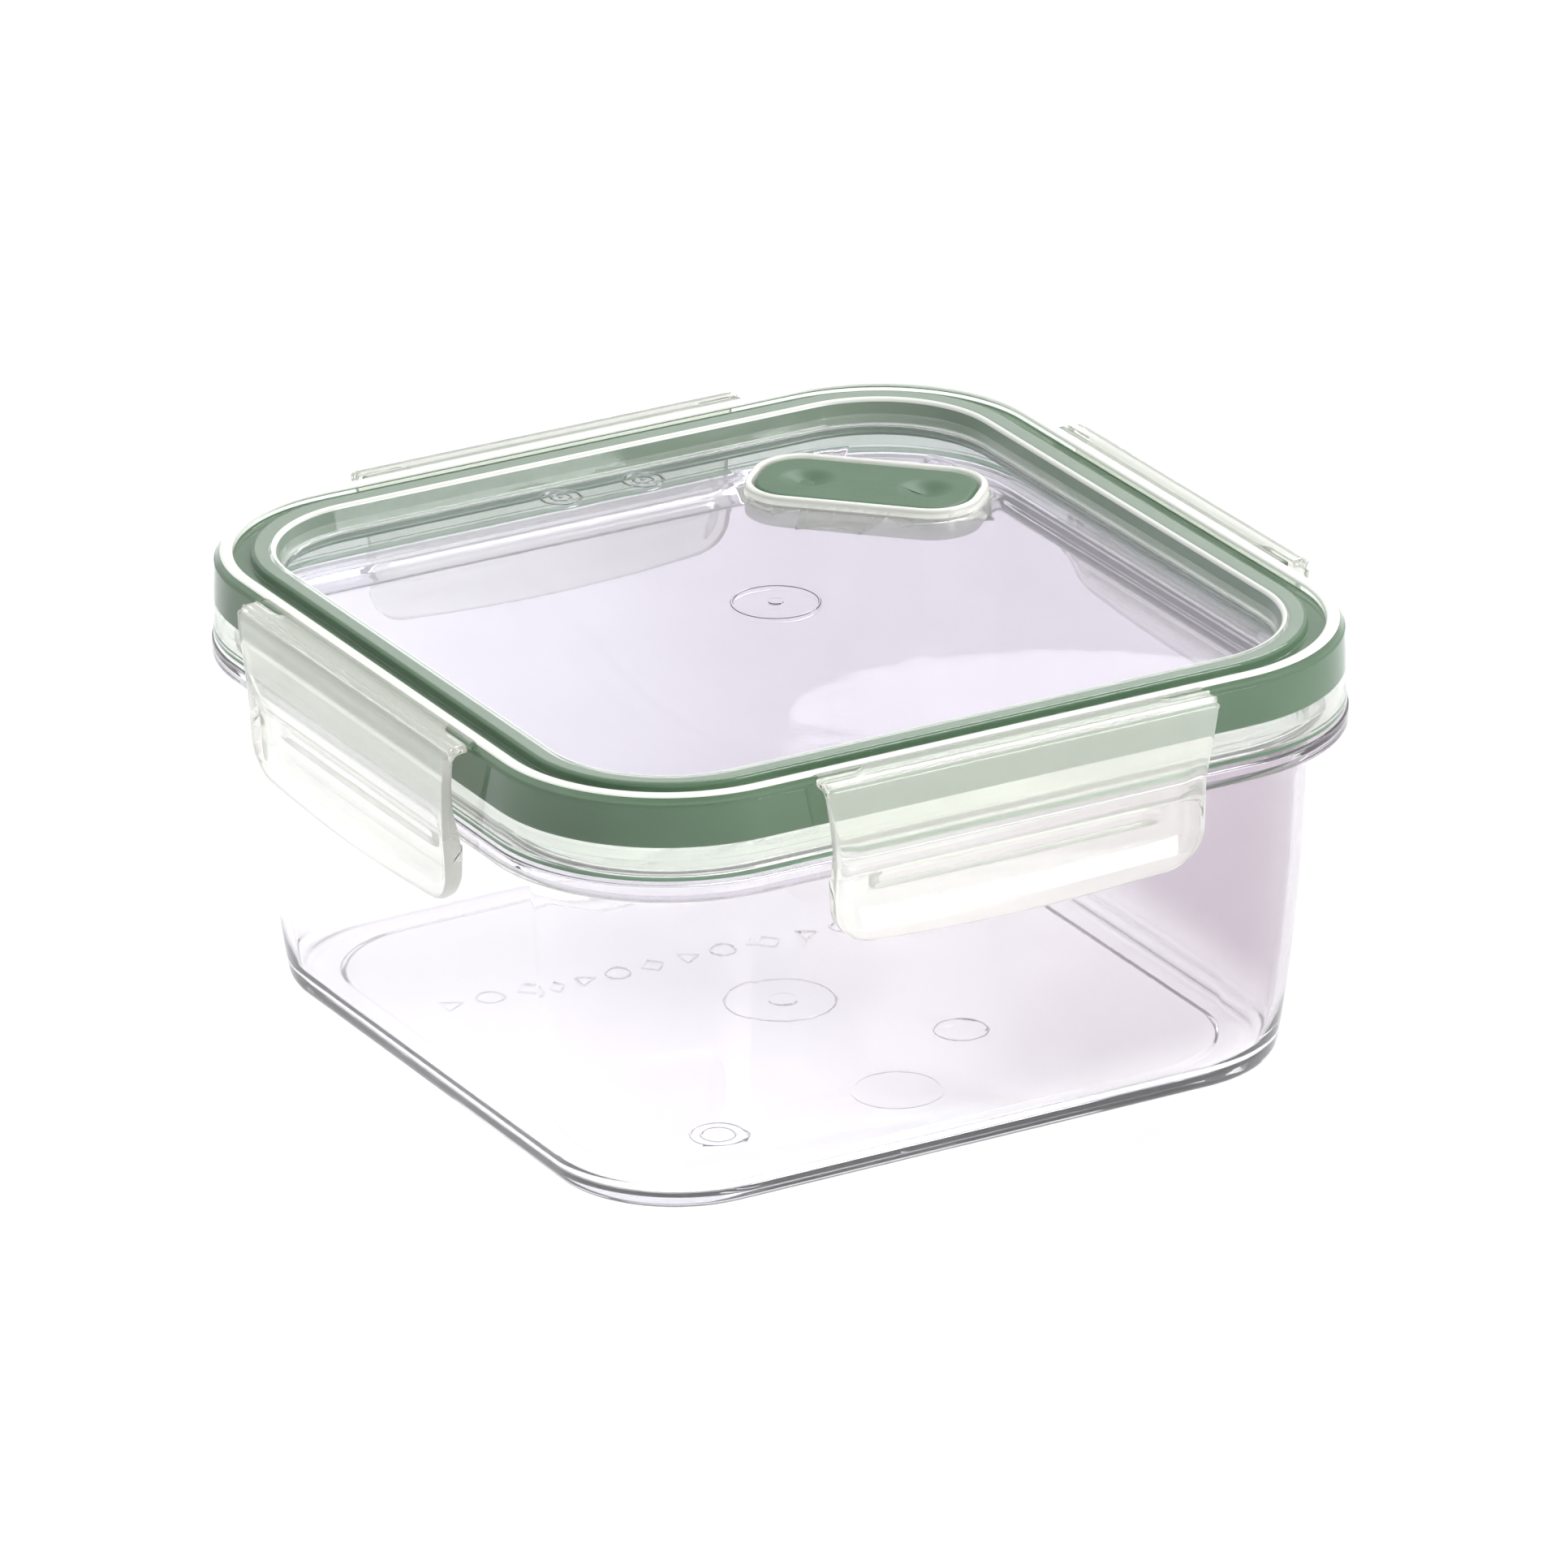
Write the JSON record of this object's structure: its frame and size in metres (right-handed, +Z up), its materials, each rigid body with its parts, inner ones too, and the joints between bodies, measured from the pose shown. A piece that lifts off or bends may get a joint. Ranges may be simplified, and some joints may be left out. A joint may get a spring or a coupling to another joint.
{
  "type": "snap lid food container",
  "caption": "Square clear food tub with a milky snap lid, green seal ring, hinged side latches and a rocking steam vent.",
  "frame": {"origin": "centre of the underside, on the surface that the container stands on", "axes": "+Z up; the front latch faces -Y and the left latch faces -X; the vent is near the back right corner (+X, +Y)"},
  "size_m": [0.1662, 0.1662, 0.0784],
  "materials": {
    "clear_tub": "clear, polished, faint lavender tint",
    "milky_lid": "milky translucent, glossy",
    "milky_latch": "milky translucent, satin gloss",
    "green_seal": "satin sage green",
    "green_vent": "satin sage green"
  },
  "bodies": {
    "tub_body": {"container_tub": "clear_tub"},
    "lid_body": {"lid": "milky_lid", "lid_seal_ring": "green_seal", "front_hinge_web": "milky_latch", "right_hinge_web": "milky_latch", "back_hinge_web": "milky_latch", "left_hinge_web": "milky_latch"},
    "vent_body": {"vent_rocker": "green_vent"},
    "front_latch_body": {"front_latch": "milky_latch"},
    "right_latch_body": {"right_latch": "milky_latch"},
    "back_latch_body": {"back_latch": "milky_latch"},
    "left_latch_body": {"left_latch": "milky_latch"}
  },
  "joints": [
    {"name": "lid_lift", "type": "slide", "parent": "tub_body", "child": "lid_body", "axis": [0, 0, 1], "range_m": [0, 0.12]},
    {"name": "front_latch_hinge", "type": "hinge", "parent": "lid_body", "child": "front_latch_body", "pos_m": [0, -0.0793, 0.07795], "axis": [-1, 0, 0], "range_deg": [0, 140]},
    {"name": "right_latch_hinge", "type": "hinge", "parent": "lid_body", "child": "right_latch_body", "pos_m": [0.0793, 0, 0.07795], "axis": [0, -1, 0], "range_deg": [0, 140]},
    {"name": "back_latch_hinge", "type": "hinge", "parent": "lid_body", "child": "back_latch_body", "pos_m": [0, 0.0793, 0.07795], "axis": [1, 0, 0], "range_deg": [0, 140]},
    {"name": "left_latch_hinge", "type": "hinge", "parent": "lid_body", "child": "left_latch_body", "pos_m": [-0.0793, 0, 0.07795], "axis": [0, 1, 0], "range_deg": [0, 140]},
    {"name": "vent_rock", "type": "hinge", "parent": "lid_body", "child": "vent_body", "pos_m": [0.0392, 0.0375, 0.0729], "axis": [0.7071, 0.7071, 0], "range_deg": [0, 7]}
  ]
}
